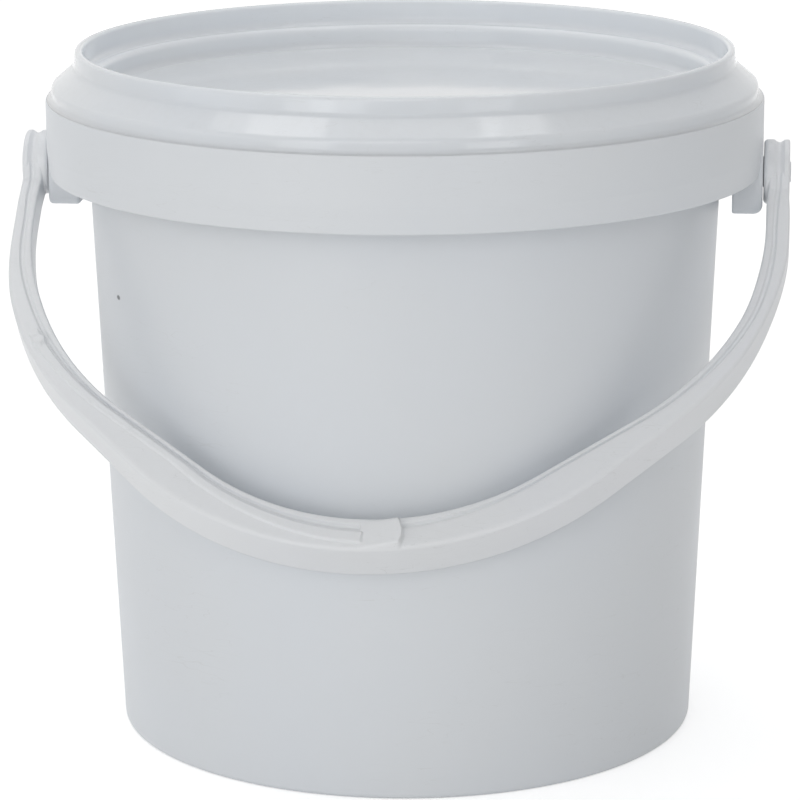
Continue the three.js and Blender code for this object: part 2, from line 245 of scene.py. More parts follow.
def objectPlace(tree, stretch=(1, 1, 1)):
    # A point's own place in its piece, in metres, stretched along the axes.
    place = addNode(tree, "ShaderNodeTexCoord").outputs["Object"]
    return addNode(tree, "ShaderNodeMapping", {"Vector": place, "Scale": stretch}).outputs["Vector"]


def noiseAt(tree, place, scale, detail, roughness=0.5, distortion=0.0):
    # The value of a soft noise at a place, which stays near a half.
    return addNode(tree, "ShaderNodeTexNoise", {
        "Vector": place, "Scale": scale, "Detail": detail, "Roughness": roughness,
        "Distortion": distortion,
    }).outputs["Fac"]


def makeCloudyTone():
    # Slow drifts of tone, as in natural polypropylene: the base colour goes towards a tint.
    group, given, result = newGroup("cloudyTone", [
        ("Base", "NodeSocketColor", (1, 1, 1, 1)),
        ("Tint", "NodeSocketColor", (1, 1, 1, 1)),
        ("Scale", "NodeSocketFloat", 20),
    ], [("Color", "NodeSocketColor")])
    clouds = noiseAt(group, objectPlace(group), given["Scale"], detail=3, roughness=0.55)
    share = spread(group, clouds, *effectSizes["cloudRange"])
    group.links.new(mixColours(group, share, given["Base"], given["Tint"]), result["Color"])
    return group


def makeMouldedSkin():
    # The height of a moulded skin in metres: a fine grain from the steel and slow sinks in the wall.
    group, given, result = newGroup("mouldedSkin", [
        ("Grain Scale", "NodeSocketFloat", 3000),
        ("Grain Depth", "NodeSocketFloat", 0.00001),
        ("Sink Scale", "NodeSocketFloat", 40),
        ("Sink Depth", "NodeSocketFloat", 0.0001),
    ], [("Height", "NodeSocketFloat")])
    place = objectPlace(group)
    grain = noiseAt(group, place, given["Grain Scale"], detail=2)
    sinks = noiseAt(group, place, given["Sink Scale"], detail=1)
    fine = calculate(group, "MULTIPLY", grain, given["Grain Depth"])
    slow = calculate(group, "MULTIPLY", sinks, given["Sink Depth"])
    group.links.new(calculate(group, "ADD", fine, slow), result["Height"])
    return group


def makeHandlingMarks():
    # Thin rubbed streaks where stretched noise crosses its middle, broken up by a second noise.
    group, given, result = newGroup("handlingMarks", [
        ("Scale", "NodeSocketFloat", 60),
        ("Width", "NodeSocketFloat", 0.006),
        ("Strength", "NodeSocketFloat", 0.5),
    ], [("Mask", "NodeSocketFloat")])
    stretched = objectPlace(group, effectSizes["streakStretch"])
    streaks = noiseAt(group, stretched, given["Scale"], detail=2, distortion=0.4)
    offMiddle = calculate(group, "ABSOLUTE", calculate(group, "SUBTRACT", streaks, 0.5))
    line = spread(group, offMiddle, 0.0, given["Width"], 1.0, 0.0)
    noise = noiseAt(group, objectPlace(group), effectSizes["patchScale"], detail=1)
    patches = spread(group, noise, *effectSizes["patchRange"])
    broken = calculate(group, "MULTIPLY", line, patches)
    group.links.new(calculate(group, "MULTIPLY", broken, given["Strength"]), result["Mask"])
    return group


def makeSettledDust():
    # Fine dust on what faces up: the normal's height times a speckled noise.
    group, given, result = newGroup("settledDust", [
        ("Scale", "NodeSocketFloat", 500),
        ("Amount", "NodeSocketFloat", 0.2),
    ], [("Mask", "NodeSocketFloat")])
    normal = addNode(group, "ShaderNodeNewGeometry").outputs["Normal"]
    upward = addNode(group, "ShaderNodeSeparateXYZ", {"Vector": normal}).outputs["Z"]
    facingUp = spread(group, upward, *effectSizes["upwardRange"])
    noise = noiseAt(group, objectPlace(group), given["Scale"], detail=4, roughness=0.7)
    specks = calculate(group, "MULTIPLY", spread(group, noise, *effectSizes["dustRange"]), facingUp)
    group.links.new(calculate(group, "MULTIPLY", specks, given["Amount"]), result["Mask"])
    return group


def makePaintedGlowThrough():
    # A painted glow: emission that stands in for light coming through the thin lip into the recess inside
    # it, and lifts the shade there. The level is full on the walls, within a radius about Z and above a
    # height, less on the panel, and leans to -X.
    group, given, result = newGroup("paintedGlowThrough", [
        ("Color", "NodeSocketColor", (1, 1, 1, 1)),
        ("Level", "NodeSocketFloat", 0.05),
        ("Radius", "NodeSocketFloat", 0.0599),
        ("Lowest", "NodeSocketFloat", 0.1185),
        ("Full Height", "NodeSocketFloat", 0.1212),
        ("Lean", "NodeSocketFloat", 0.4),
    ], [("Color", "NodeSocketColor")])
    place = addNode(group, "ShaderNodeSeparateXYZ", {"Vector": objectPlace(group)}).outputs
    squares = [calculate(group, "MULTIPLY", place[axis], place[axis]) for axis in ("X", "Y")]
    radius = calculate(group, "SQRT", calculate(group, "ADD", *squares))
    inside = calculate(group, "LESS_THAN", radius, given["Radius"])
    rise = spread(group, place["Z"], given["Lowest"], given["Full Height"])
    toRight = calculate(group, "DIVIDE", place["X"], given["Radius"])
    lean = calculate(group, "SUBTRACT", 1.0, calculate(group, "MULTIPLY", toRight, given["Lean"]))
    level = calculate(group, "MULTIPLY", calculate(group, "MULTIPLY", inside, rise), given["Level"])
    level = calculate(group, "MULTIPLY", level, lean)
    group.links.new(mixColours(group, level, (0, 0, 0, 1), given["Color"]), result["Color"])
    return group


effects = {
    "cloudyTone": makeCloudyTone(),
    "mouldedSkin": makeMouldedSkin(),
    "handlingMarks": makeHandlingMarks(),
    "settledDust": makeSettledDust(),
    "paintedGlowThrough": makePaintedGlowThrough(),
}
print("effects made:", ", ".join(effects))


def useEffect(tree, name, inputs):
    # One effect's node with a finish's own values, and what comes out of it.
    return addNode(tree, "ShaderNodeGroup", inputs, node_tree=effects[name]).outputs[0]


def speckMask(tree, speck):
    # One within a small radius of the speck's middle, fading to zero at a larger one. The distance
    # is taken after a squash along the axes, so that the speck lies along the wall.
    def reckon(operation, first, second=(0, 0, 0)):
        return addNode(tree, "ShaderNodeVectorMath", {0: first, 1: second}, operation=operation).outputs

    place = addNode(tree, "ShaderNodeTexCoord").outputs["Object"]
    away = reckon("SUBTRACT", place, speck["place"])[0]
    squashed = reckon("MULTIPLY", away, speck["squash"])[0]
    return spread(tree, reckon("LENGTH", squashed)["Value"], *speck["radii"], 1.0, 0.0)


def plasticFinish(name, look):
    # Moulded polypropylene: cloudy colour, rubbed streaks, dust, and a skin that breaks the gloss.
    material = bpy.data.materials.new(name)
    material.use_nodes = True
    tree = material.node_tree
    shader = tree.nodes["Principled BSDF"]
    shader.inputs["IOR"].default_value = look["ior"]
    shader.inputs["Subsurface Weight"].default_value = look["glow"]
    shader.inputs["Subsurface Radius"].default_value = look["glowRadius"]
    shader.inputs["Subsurface Scale"].default_value = look["glowScale"]
    colour = useEffect(tree, "cloudyTone", {
        "Base": look["colour"], "Tint": look["tint"], "Scale": look["cloudScale"],
    })
    marks = useEffect(tree, "handlingMarks", look["marks"])
    dust = useEffect(tree, "settledDust", look["dust"])
    colour = mixColours(tree, marks, colour, look["markColour"])
    colour = mixColours(tree, dust, colour, look["dustColour"])
    worn = calculate(tree, "MAXIMUM", marks, dust)
    noise = noiseAt(tree, objectPlace(tree), look["cloudScale"] * 2, detail=3)
    gloss = spread(tree, noise, *effectSizes["glossRange"], *look["roughness"])
    roughness = calculate(tree, "ADD", gloss, calculate(tree, "MULTIPLY", worn, look["wornRoughness"]))
    height = useEffect(tree, "mouldedSkin", look["skin"])
    bump = addNode(tree, "ShaderNodeBump", {"Height": height, "Distance": 1.0, "Strength": look["bump"]})
    if look["speck"]:
        colour = mixColours(tree, speckMask(tree, look["speck"]), colour, look["speck"]["colour"])
    # Where set, a painted glow: emission that lifts the shade in the lid's recess.
    if look["paintedGlowThrough"]:
        light = useEffect(tree, "paintedGlowThrough", {"Color": look["colour"], "Level": look["paintedGlowThrough"]})
        tree.links.new(light, shader.inputs["Emission Color"])
        shader.inputs["Emission Strength"].default_value = 1.0
    tree.links.new(colour, shader.inputs["Base Color"])
    tree.links.new(roughness, shader.inputs["Roughness"])
    tree.links.new(bump.outputs["Normal"], shader.inputs["Normal"])
    return material


# The tub: pail, collar and lugs in one moulding

tubSizes = {
    "height": 122.3,
    "baseRadius": 54.25,
    "mouthRadius": 59.4,
    "wall": 1.15,
    "floorWall": 1.5,
    "footRingHeight": 1.6,
    "footRingWidth": 2.4,
    "footRingDraft": 0.3,
    "heelFillet": 1.1,
    "floorFillet": 2.0,
    "ringFillet": 0.6,
    "ringEdgeFillet": 0.4,
    "fineFillet": 0.3,
    "beadReach": 2.1,
    "beadHeight": 2.6,
    "beadChamfer": 0.7,
    "gateRadius": 2.2,
    "gateTipRadius": 1.8,
    "gateHeight": 0.6,
    "gateSegments": 48,
    "floorCuts": 6,
    "wallCuts": 24,
    "insideCuts": 12,
    "segments": 256,
}
collarSizes = {
    "reach": 7.1,
    "wall": 1.1,
    "height": 13.7,
    "drop": 3.1,
    "taper": 0.5,
    "taperHeight": 4.6,
    "taperFillet": 3.0,
    "edgeFillet": 0.3,
    "innerEdgeFillet": 0.08,
    "faceCuts": 2,
    "webDepth": 7.7,
    "webWall": 1.1,
    "webFillet": 0.6,
    "ribCount": 12,
    "ribWall": 1.0,
    "ribLift": 0.6,
    "ribFillet": 0.25,
    "ribArcSteps": 3,
    "ribOverlap": 0.4,
}
lugSizes = {
    "depth": 5.6,
    "width": 12.0,
    "drop": 7.4,
    "cornerLeft": 0.6,
    "cornerRight": 1.7,
    "cornerSines": (0.68, 0.78),  # of the angle below the bore, between which the corner rounds off
    "edge": 0.45,
    "squareness": 9.0,
    "boreChamfer": 0.35,
    "pivotDrop": 0.2,
    "segments": 96,
    "arcSteps": 5,
}

wallSlope = (tubSizes["mouthRadius"] - tubSizes["baseRadius"]) / tubSizes["height"]
collarRadius = tubSizes["mouthRadius"] + collarSizes["reach"]
collarInside = collarRadius - collarSizes["wall"]
collarTop = tubSizes["height"] - collarSizes["drop"]
collarBottom = collarTop - collarSizes["height"]
webBottom = collarTop - collarSizes["webDepth"]
webTop = webBottom + collarSizes["webWall"]
pivotHeight = collarBottom - lugSizes["pivotDrop"]


def wallRadius(height):
    # The drafted wall: its outside widens evenly with the height.
    return tubSizes["baseRadius"] + wallSlope * height


def pailProfile():
    # The pail's outline from under the floor round the heel, the collar and the rim to the inside.
    pail, collar = tubSizes, collarSizes
    heel = wallRadius(0)
    floorTop = pail["footRingHeight"] + pail["floorWall"]
    ringInside = heel - pail["footRingWidth"]
    beadFoot = pail["height"] - pail["beadHeight"]
    beadRadius = pail["mouthRadius"] + pail["beadReach"]
    fine = pail["fineFillet"]
    return roundedRun([
        (0, pail["footRingHeight"], 0, pail["floorCuts"]),
        (ringInside, pail["footRingHeight"], pail["ringFillet"]),
        (ringInside + pail["footRingDraft"], 0, pail["ringEdgeFillet"]),
        (heel, 0, pail["heelFillet"], pail["wallCuts"]),
        (wallRadius(webBottom), webBottom, collar["webFillet"]),
        (collarInside, webBottom, fine),
        (collarInside - collar["taper"] / 2, collarBottom, fine),
        (collarRadius - collar["taper"], collarBottom, collar["edgeFillet"]),
        (collarRadius, collarBottom + collar["taperHeight"], collar["taperFillet"], collar["faceCuts"]),
        (collarRadius, collarTop, collar["edgeFillet"]),
        (collarInside, collarTop, collar["innerEdgeFillet"]),
        (collarInside, webTop, fine),
        (wallRadius(webTop), webTop, collar["webFillet"]),
        (wallRadius(beadFoot), beadFoot, fine),
        (beadRadius, beadFoot + pail["beadChamfer"], fine),
        (beadRadius, pail["height"] - pail["beadChamfer"], fine),
        (beadRadius - pail["beadChamfer"], pail["height"], fine),
        (pail["mouthRadius"] - pail["wall"], pail["height"], fine, pail["insideCuts"]),
        (wallRadius(floorTop) - pail["wall"], floorTop, pail["floorFillet"], pail["floorCuts"]),
        (0, floorTop),
    ])


def ribShell():
    # A rib under the web: a rounded section in its own width and height, carried out from the wall.
    collar = collarSizes
    bottom, top = collarBottom + collar["ribLift"], webBottom + collar["webWall"] / 2
    half, fillet = collar["ribWall"] / 2, collar["ribFillet"]
    section = roundedRun([
        (-half, bottom, fillet), (half, bottom, fillet), (half, top), (-half, top),
    ], arcSteps=collar["ribArcSteps"], closed=True)
    inner = wallRadius(bottom) - tubSizes["wall"] / 2
    outer = collarInside - collar["taper"] / 2 + collar["ribOverlap"]
    rings = np.stack([np.column_stack([np.full(len(section), x), section]) for x in (inner, outer)])
    middle = section.mean(0)
    return cappedRings(rings, [inner, *middle], [outer, *middle])


def lugShell(corner):
    # Rays leave the bore's axis at every angle. The lug's outline is a squared oval,
    # reach = ((cos / half width)^n + (sin / height)^n)^(-1/n). The surface goes round it as a loop:
    # out over the back, along the side, in over the face, and back through the bore.
    lug = lugSizes
    face = collarRadius
    back = face - lug["depth"]
    bore = pinSizes["radius"] + pinSizes["clearance"]
    chamfer, backEdge = lug["boreChamfer"], lug["edge"]
    angle = np.arange(lug["segments"]) * 2 * math.pi / lug["segments"]
    cos, sin = np.cos(angle), np.sin(angle)
    up = webTop - collarSizes["webWall"] / 2 - pivotHeight
    down = pivotHeight - (collarBottom - lug["drop"])
    tall = np.where(sin > 0, up, down)
    n = lug["squareness"]
    reach = (np.abs(cos * 2 / lug["width"]) ** n + np.abs(sin / tall) ** n) ** (-1 / n)
    edge = backEdge + (corner - backEdge) * smoothStep(*lug["cornerSines"], -sin)
    turn = np.linspace(0, math.pi / 2, lug["arcSteps"] + 1)
    flat = np.ones_like(angle)
    loop = [(back * flat, (bore + chamfer) * flat)]
    loop += [
        (back + backEdge * (1 - math.cos(t)) * flat, reach - backEdge * (1 - math.sin(t))) for t in turn
    ]
    loop += [(face - edge * (1 - math.sin(t)), reach - edge * (1 - math.cos(t))) for t in turn]
    loop += [
        (face * flat, (bore + chamfer) * flat),
        ((face - chamfer) * flat, bore * flat),
        ((back + chamfer) * flat, bore * flat),
    ]
    rings = np.stack([np.column_stack([x, r * cos, pivotHeight + r * sin]) for x, r in loop])
    return facedOut(rings.reshape(-1, 3), [gridFaces(len(loop), lug["segments"], True, True)])


def gateShell():
    # The gate mark: a low tapered stub that runs up into the floor.
    pail = tubSizes
    top = pail["footRingHeight"] + pail["floorWall"] / 2
    bottom = pail["footRingHeight"] - pail["gateHeight"]
    profile = roundedRun([
        (0, top),
        (pail["gateRadius"], top),
        (pail["gateTipRadius"], bottom, pail["fineFillet"]),
        (0, bottom),
    ])
    return turned(profile, pail["gateSegments"])


# The lid

lidSizes = {
    "wall": 1.1,
    "lipHeight": 6.0,
    "lipReach": 1.5,
    "lipWall": 1.4,
    "lipFlare": 0.25,
    "lipFootHeight": 0.6,
    "lipFillet": 0.7,
    "recessDepth": 8.8,
    "ledgeFillet": 1.3,
    "panelFillet": 1.4,
    "shoulderHeight": 2.6,
    "shoulderInset": 0.5,
    "shoulderDrop": 0.7,
    "shoulderFootFillet": 1.5,
    "shoulderEndFillet": 1.2,
    "ceilingReach": 0.6,
    "rimInsertion": 5.6,
    "seatGap": 0.3,
    "plugGap": 0.4,
    "plugFillet": 1.1,
    "rimGap": 0.04,
    "seatLift": -0.02,
    "seatReach": 0.95,
    "seatWall": 0.45,
    "snapGap": 0.35,
    "snapDrop": 0.9,
    "snapHeight": 0.7,
    "snapLead": 1.6,
    "cornerFillet": 0.6,
    "edgeFillet": 0.4,
    "underCuts": 6,
    "panelCuts": 8,
    "arcSteps": 8,
    "segments": 256,
}


def lidProfile():
    # The lid's outline from under the panel round the plug, the ceiling, the rim with its snap bead,
    # the seat on the collar, the shoulder and the lip, and back to the panel's top.
    pail, lid = tubSizes, lidSizes
    ceiling = pail["height"] + lid["seatGap"]
    plugOutside = pail["mouthRadius"] - pail["wall"] - lid["plugGap"]
    plugInside = plugOutside - lid["wall"]
    lipTop = pail["height"] + lid["lipHeight"]
    panelTop = lipTop - lid["recessDepth"]
    panelUnder = panelTop - lid["wall"]
    ledgeTop = ceiling + lid["wall"]
    lipOutside = pail["mouthRadius"] + lid["lipReach"]
    lipInside = lipOutside - lid["lipWall"]
    lipFoot = pail["height"] + lid["shoulderHeight"]
    rimOutside = collarInside - lid["rimGap"]
    rimInside = rimOutside - lid["wall"]
    rimBottom = collarTop - lid["rimInsertion"]
    seat = collarTop + lid["seatLift"]
    shoulderEnd = pail["height"] - lid["shoulderDrop"]
    shoulderTurn = lipOutside + lid["shoulderInset"]
    snapRadius = pail["mouthRadius"] + pail["beadReach"] + lid["snapGap"]
    snapTop = pail["height"] - pail["beadHeight"] - lid["snapDrop"]
    snapRise = (rimInside - snapRadius) / 2
    ceilingEnd = shoulderTurn + lid["ceilingReach"]
    corner, edge = lid["cornerFillet"], lid["edgeFillet"]
    return roundedRun([
        (0, panelUnder, 0, lid["underCuts"]),
        (plugOutside, panelUnder, lid["plugFillet"]),
        (plugOutside, ceiling, edge),
        (ceilingEnd, ceiling, corner),
        (rimInside, ceiling - (rimInside - ceilingEnd), corner),
        (rimInside, snapTop + snapRise, edge),
        (snapRadius, snapTop, edge),
        (snapRadius, snapTop - lid["snapHeight"], edge),
        (rimInside, snapTop - lid["snapHeight"] - snapRise * lid["snapLead"], edge),
        (rimInside, rimBottom, edge),
        (rimOutside, rimBottom, edge),
        (rimOutside, seat),
        (rimOutside + lid["seatReach"], seat),
        (rimOutside, seat + lid["seatWall"], lid["seatReach"]),
        (rimOutside, shoulderEnd, lid["shoulderEndFillet"]),
        (shoulderTurn, lipFoot, lid["shoulderFootFillet"]),
        (lipOutside + lid["lipFlare"], lipFoot + lid["lipFootHeight"], corner),
        (lipOutside, lipTop, lid["lipFillet"]),
        (lipInside, lipTop, lid["lipFillet"]),
        (lipInside, ledgeTop, lid["ledgeFillet"]),
        (plugInside, ledgeTop, lid["ledgeFillet"]),
        (plugInside, panelTop, lid["panelFillet"], lid["panelCuts"]),
        (0, panelTop),
    ], arcSteps=lid["arcSteps"])


# The handle, laid out flat: span along X, depth away from the pivot, front towards its own front

handleSizes = {
    "bandWidth": 8.5,
    "armBandWidth": 4.8,
    "gripStart": 60.0,
    "earFairing": 1.2,
    "earCover": 0.12,
    "earSink": 0.9,
    "earSinkDepths": (1.5, 5.0),
    "gripSkew": 1.3,
    "innerSkew": 0.35,
    "innerSkewIn": (4.0, 10.0),
    "innerSkewOut": (24.0, 36.0),
    "outerSkew": 0.7,
    "outerSkewIn": (16.0, 36.0),
    "outerBulge": 0.25,
    "outerBulgeIn": (5.0, 12.0),
    "bulgeSpan": 25.0,
    "armClearance": 1.1,
    "armWall": 3.7,
    "armStraight": 14.3,
    "armOuterStraight": 17.0,
    "armEnd": 0.8,
    "gripReach": 13.7,
    "gripWall": 6.5,
    "gripInnerRadius": 49.4,
    "gripOuterRadius": 60.5,
    "innerFlank": 36.6,
    "outerFlank": 44.4,
    "wallGap": 0.35,
    "innerFillet": 0.5,
    "outerFillet": 0.9,
    "flange": 1.3,
    "groove": 1.1,
    "grooveDepth": 0.55,
    "grooveDraft": 0.3,
    "grooveFillet": 0.25,
    "ridgeHeight": 0.5,
    "ridgeInset": 2.9,
    "ridgeWall": 2.2,
    "ridgeEdge": 0.3,
    "tongueLength": 7.6,
    "tongueHeight": 1.3,
    "tongueEdge": 0.5,
    "tongueTip": 0.9,
    "tongueOffset": 3.3,
    "tongueSoftness": 0.14,
    "tongueSideSoftness": 0.2,
    "pipRadius": 1.5,
    "pipHeight": 0.9,
    "pipSlope": 0.45,
    "pipAngle": 57.0,
    "pipAngleSoftness": 0.5,
    "faceTolerance": 0.02,
    "faceCuts": 26,
    "sideCuts": 4,
    "arcSteps": 4,
    "hold": 0.12,
}
pinSizes = {
    "radius": 2.75,
    "clearance": 0.3,
    "headReach": 0.75,
    "headLength": 1.3,
    "headTaper": 0.6,
    "fillet": 0.25,
}
earSizes = {
    "gap": 0.12,
    "radius": 6.0,
    "wall": 4.78,
    "grooveAt": 2.95,
    "groove": 1.0,
    "grooveDepth": 0.7,
    "bossRadius": 1.9,
    "bossBore": 1.3,
    "bossHeight": 0.25,
    "rimFillet": 1.3,
    "innerFillet": 0.8,
    "grooveFillet": 0.8,
    "fineFillet": 0.2,
    "bossFillet": 0.1,
    "segments": 96,
}
stationCounts = {"tongue": 64, "arc": 60, "flank": 40, "shoulder": 120, "arm": 26}
tongueShare = 0.27  # of the grip's arc, from its middle, that has the close stations


def edgeStations(span, depth, radius, flank, straight):
    # The edge of the handle's half: an arc over the middle of the grip, a straight flank, a shoulder
    # arc of radius = rise * cos / (1 - sin), and the straight arm. Both edges have as many stations.
    sin, cos, tan = math.sin(flank), math.cos(flank), math.tan(flank)
    flankDepth = depth - radius * (1 - cos)
    rise = flankDepth + radius * sin * tan - span * tan - straight
    shoulder = rise * cos / (1 - sin)
    counts = stationCounts
    share = np.concatenate([
        np.linspace(0, tongueShare, counts["tongue"], endpoint=False),
        np.linspace(tongueShare, 1, counts["arc"]),
    ])
    arc = np.column_stack([radius * np.sin(share * flank), depth - radius * (1 - np.cos(share * flank))])
    turn = np.linspace(flank, math.pi / 2, counts["shoulder"])
    bend = np.column_stack([span - shoulder * (1 - np.sin(turn)), straight + shoulder * np.cos(turn)])
    along = np.linspace(0, 1, counts["flank"] + 2)[1:-1, None]
    down = np.linspace(0, 1, counts["arm"] + 1)[1:, None]
    arm = bend[-1] + (np.array([span, handleSizes["armEnd"]]) - bend[-1]) * down
    return np.vstack([arc, arc[-1] + (bend[0] - arc[-1]) * along, bend, arm])


def bandSection(width):
    # The closed section of the band as (across, front): a thin flange, a groove and the broad face,
    # the same on the front and the back. Its points move evenly with the width.
    bail = handleSizes
    half = bail["bandWidth"] / 2
    floor = half - bail["grooveDepth"]
    start, end = bail["flange"], bail["flange"] + bail["groove"]
    draft, soft = bail["grooveDraft"], bail["grooveFillet"]
    front = [
        (0, half, bail["innerFillet"], 0),
        (start, half, soft, 0),
        (start + draft, floor, soft, 0),
        (end - draft, floor, soft, 0),
        (end, half, soft, bail["faceCuts"]),
        (width, half, bail["outerFillet"], bail["sideCuts"]),
    ]
    back = [(across, -up, fillet, 0) for across, up, fillet, _ in reversed(front)]
    back[-1] = (*back[-1][:3], bail["sideCuts"])
    return roundedRun(front + back, arcSteps=bail["arcSteps"], hold=bail["hold"], closed=True)


def frontRelief(span, depth, across):
    # Heights over the broad face: a raised strip on the -X half, a round pip at its end, and the
    # tongue, a ramp whose tip is the curve end - tip + 4 * tip * v * (1 - v) across the band.
    bail = handleSizes
    soft = bail["ridgeEdge"] / 2
    ridgeEnd = bail["ridgeInset"] + bail["ridgeWall"]
    strip = smoothStep(bail["ridgeInset"] - soft, bail["ridgeInset"] + soft, across)
    strip *= 1 - smoothStep(ridgeEnd - soft, ridgeEnd + soft, across)
    polar = np.degrees(np.arctan2(-span, depth))
    pipAngle, pipSoft = bail["pipAngle"], bail["pipAngleSoftness"]
    strip *= (span < 0) * (1 - smoothStep(pipAngle - pipSoft, pipAngle + pipSoft, polar))
    relief = strip * bail["ridgeHeight"]
    station = np.argmax(np.degrees(np.arctan2(innerEdge[:, 0], innerEdge[:, 1])) >= pipAngle)
    offEdge = [-bail["ridgeInset"] / 2, bail["ridgeInset"] + bail["ridgeWall"] / 2]
    pipPlace = innerEdge[station] * [-1, 1] + offEdge
    fromPip = np.hypot(span - pipPlace[0], depth - pipPlace[1])
    pipTop = bail["pipRadius"] - bail["pipSlope"]
    pip = bail["pipHeight"] * (1 - smoothStep(pipTop, bail["pipRadius"], fromPip))
    relief = np.maximum(relief, pip)
    near, far = gripInside + bail["tongueEdge"], gripInside + bail["gripWall"]
    v = np.clip((depth - near) / (far - near), 0, 1)
    tipEnd = bail["tongueOffset"] + bail["tongueLength"] / 2
    tip = tipEnd - bail["tongueTip"] + 4 * bail["tongueTip"] * v * (1 - v)
    ramp = (span - bail["tongueOffset"]) / bail["tongueLength"] + 0.5
    tipSoft, sideSoft = bail["tongueSoftness"], bail["tongueSideSoftness"]
    tongue = (1 - smoothStep(tip - tipSoft, tip + tipSoft, span)) * (ramp > 0)
    tongue *= smoothStep(bail["tongueEdge"] - sideSoft, bail["tongueEdge"] + sideSoft, across)
    return relief, tongue, np.clip(ramp, 0, 1) * bail["tongueHeight"]


def bandShell():
    # At each station the section is laid from the inner edge towards the outer edge. Each edge is
    # skewed a little over its own range of depths, and the outer one stands out below the ears. The
    # relief is added to the front face only.
    bail = handleSizes
    inner = np.vstack([innerEdge[:0:-1] * [-1, 1], innerEdge])
    outer = np.vstack([outerEdge[:0:-1] * [-1, 1], outerEdge])
    upper = smoothStep(*bail["innerSkewIn"], inner[:, 1])
    upper *= 1 - smoothStep(*bail["innerSkewOut"], inner[:, 1])
    inner[:, 0] -= bail["innerSkew"] * upper
    side = np.clip(outer[:, 0] / bail["bulgeSpan"], -1, 1)
    outer[:, 0] += bail["outerBulge"] * side * smoothStep(*bail["outerBulgeIn"], outer[:, 1])
    outer[:, 0] -= bail["outerSkew"] * smoothStep(*bail["outerSkewIn"], outer[:, 1])
    width = np.linalg.norm(outer - inner, axis=1)[:, None]
    toOuter = (outer - inner) / width
    narrow, wide = bandSection(bail["armWall"]), bandSection(bail["gripWall"])
    slope = (wide - narrow) / (bail["gripWall"] - bail["armWall"])
    across = narrow[:, 0] + slope[:, 0] * (width - bail["armWall"])
    front = np.repeat(narrow[None, :, 1], len(inner), axis=0)
    half = bail["bandWidth"] / 2
    span = inner[:, :1] + across * toOuter[:, :1]
    depth = inner[:, 1:] + across * toOuter[:, 1:]
    onFace = (front > 0) * smoothStep(0, bail["innerFillet"], across)
    onFace = onFace * (1 - smoothStep(width - bail["outerFillet"], width, across))
    relief, tongue, ramp = frontRelief(span, depth, across)
    pastGroove = across > bail["flange"] + bail["groove"]
    broad = onFace * (front > half - bail["faceTolerance"]) * pastGroove
    front = front + relief * broad
    tongue = tongue * onFace
    front = front + (np.maximum(half + ramp, front) - front) * tongue
    rings = np.stack([span, -front, -depth], axis=2)
    ends = [rings[i].mean(0) for i in (0, -1)]
    return cappedRings(rings, *ends)


def earShell():
    # Snap head, pin and ear of the +X side, turned about the pivot's axis in one profile.
    pin, ear = pinSizes, earSizes
    face = collarRadius
    back = face - lugSizes["depth"] - pin["clearance"] / 2
    inside = face + ear["gap"]
    outside = inside + ear["wall"]
    middle = face + ear["grooveAt"]
    head = pin["radius"] + pin["headReach"]
    soft, boss = ear["fineFillet"], ear["bossFillet"]
    return turnedAboutX(roundedRun([
        (0, back - pin["headLength"]),
        (head - pin["headTaper"], back - pin["headLength"], pin["fillet"]),
        (head, back, pin["fillet"]),
        (pin["radius"], back, soft),
        (pin["radius"], inside, soft),
        (ear["radius"], inside, ear["innerFillet"]),
        (ear["radius"], middle - ear["groove"], soft),
        (ear["radius"] - ear["grooveDepth"], middle, ear["grooveFillet"]),
        (ear["radius"], middle + ear["groove"], soft),
        (ear["radius"], outside, ear["rimFillet"]),
        (ear["bossRadius"], outside, soft),
        (ear["bossRadius"], outside + ear["bossHeight"], boss),
        (ear["bossBore"], outside + ear["bossHeight"], boss),
        (ear["bossBore"], outside, boss),
        (0, outside),
    ]), ear["segments"])


def leanAngle():
    # The angle from straight down at which the grip's back edge comes near the sloping wall.
    half = handleSizes["bandWidth"] / 2
    across = gripInside + wallSlope * half
    along = wallSlope * gripInside - half
    reach = wallRadius(pivotHeight) + handleSizes["wallGap"]
    return math.asin(reach / math.hypot(across, along)) - math.atan2(along, across)


def shaped(shell):
    # The flat band as it really is. The arm's half width grows smoothly towards the grip. Near the
    # pivot it passes softly into the ear's round: (a + b + root((a - b)^2 + k^2)) / 2 of the two.
    # At its end the band lies sunk in the ear. The grip is skewed by the square of the depth.
    bail = handleSizes
    points, faces = shell
    x, y, z = points.T
    growth = smoothStep(bail["armStraight"], bail["gripStart"], -z)
    arm = (bail["armBandWidth"] + (bail["bandWidth"] - bail["armBandWidth"]) * growth) / 2
    sink = bail["earCover"] + bail["earSink"] * (1 - smoothStep(*bail["earSinkDepths"], -z))
    ear = np.sqrt(np.clip(earSizes["radius"] ** 2 - z ** 2, 0, None)) - sink
    half = (arm + ear + np.hypot(arm - ear, bail["earFairing"])) / 2
    skewed = x - bail["gripSkew"] * (z / gripInside) ** 2
    return np.column_stack([skewed, y * half * 2 / bail["bandWidth"], z]), faces


def hung(shell):
    # A shell of the flat handle turned about X to its lean, and lifted to the pivot:
    # y = y cos + z sin, z = z cos - y sin + pivot height.
    points, faces = shell
    cos, sin = math.cos(leanAngle()), math.sin(leanAngle())
    x, y, z = points.T
    return np.column_stack([x, y * cos + z * sin, z * cos - y * sin + pivotHeight]), faces


gripInside = collarRadius + handleSizes["gripReach"]
innerEdge = edgeStations(
    span=collarRadius + handleSizes["armClearance"],
    depth=gripInside,
    radius=handleSizes["gripInnerRadius"],
    flank=math.radians(handleSizes["innerFlank"]),
    straight=handleSizes["armStraight"],
)
outerEdge = edgeStations(
    span=collarRadius + handleSizes["armClearance"] + handleSizes["armWall"],
    depth=gripInside + handleSizes["gripWall"],
    radius=handleSizes["gripOuterRadius"],
    flank=math.radians(handleSizes["outerFlank"]),
    straight=handleSizes["armOuterStraight"],
)

# Finishes

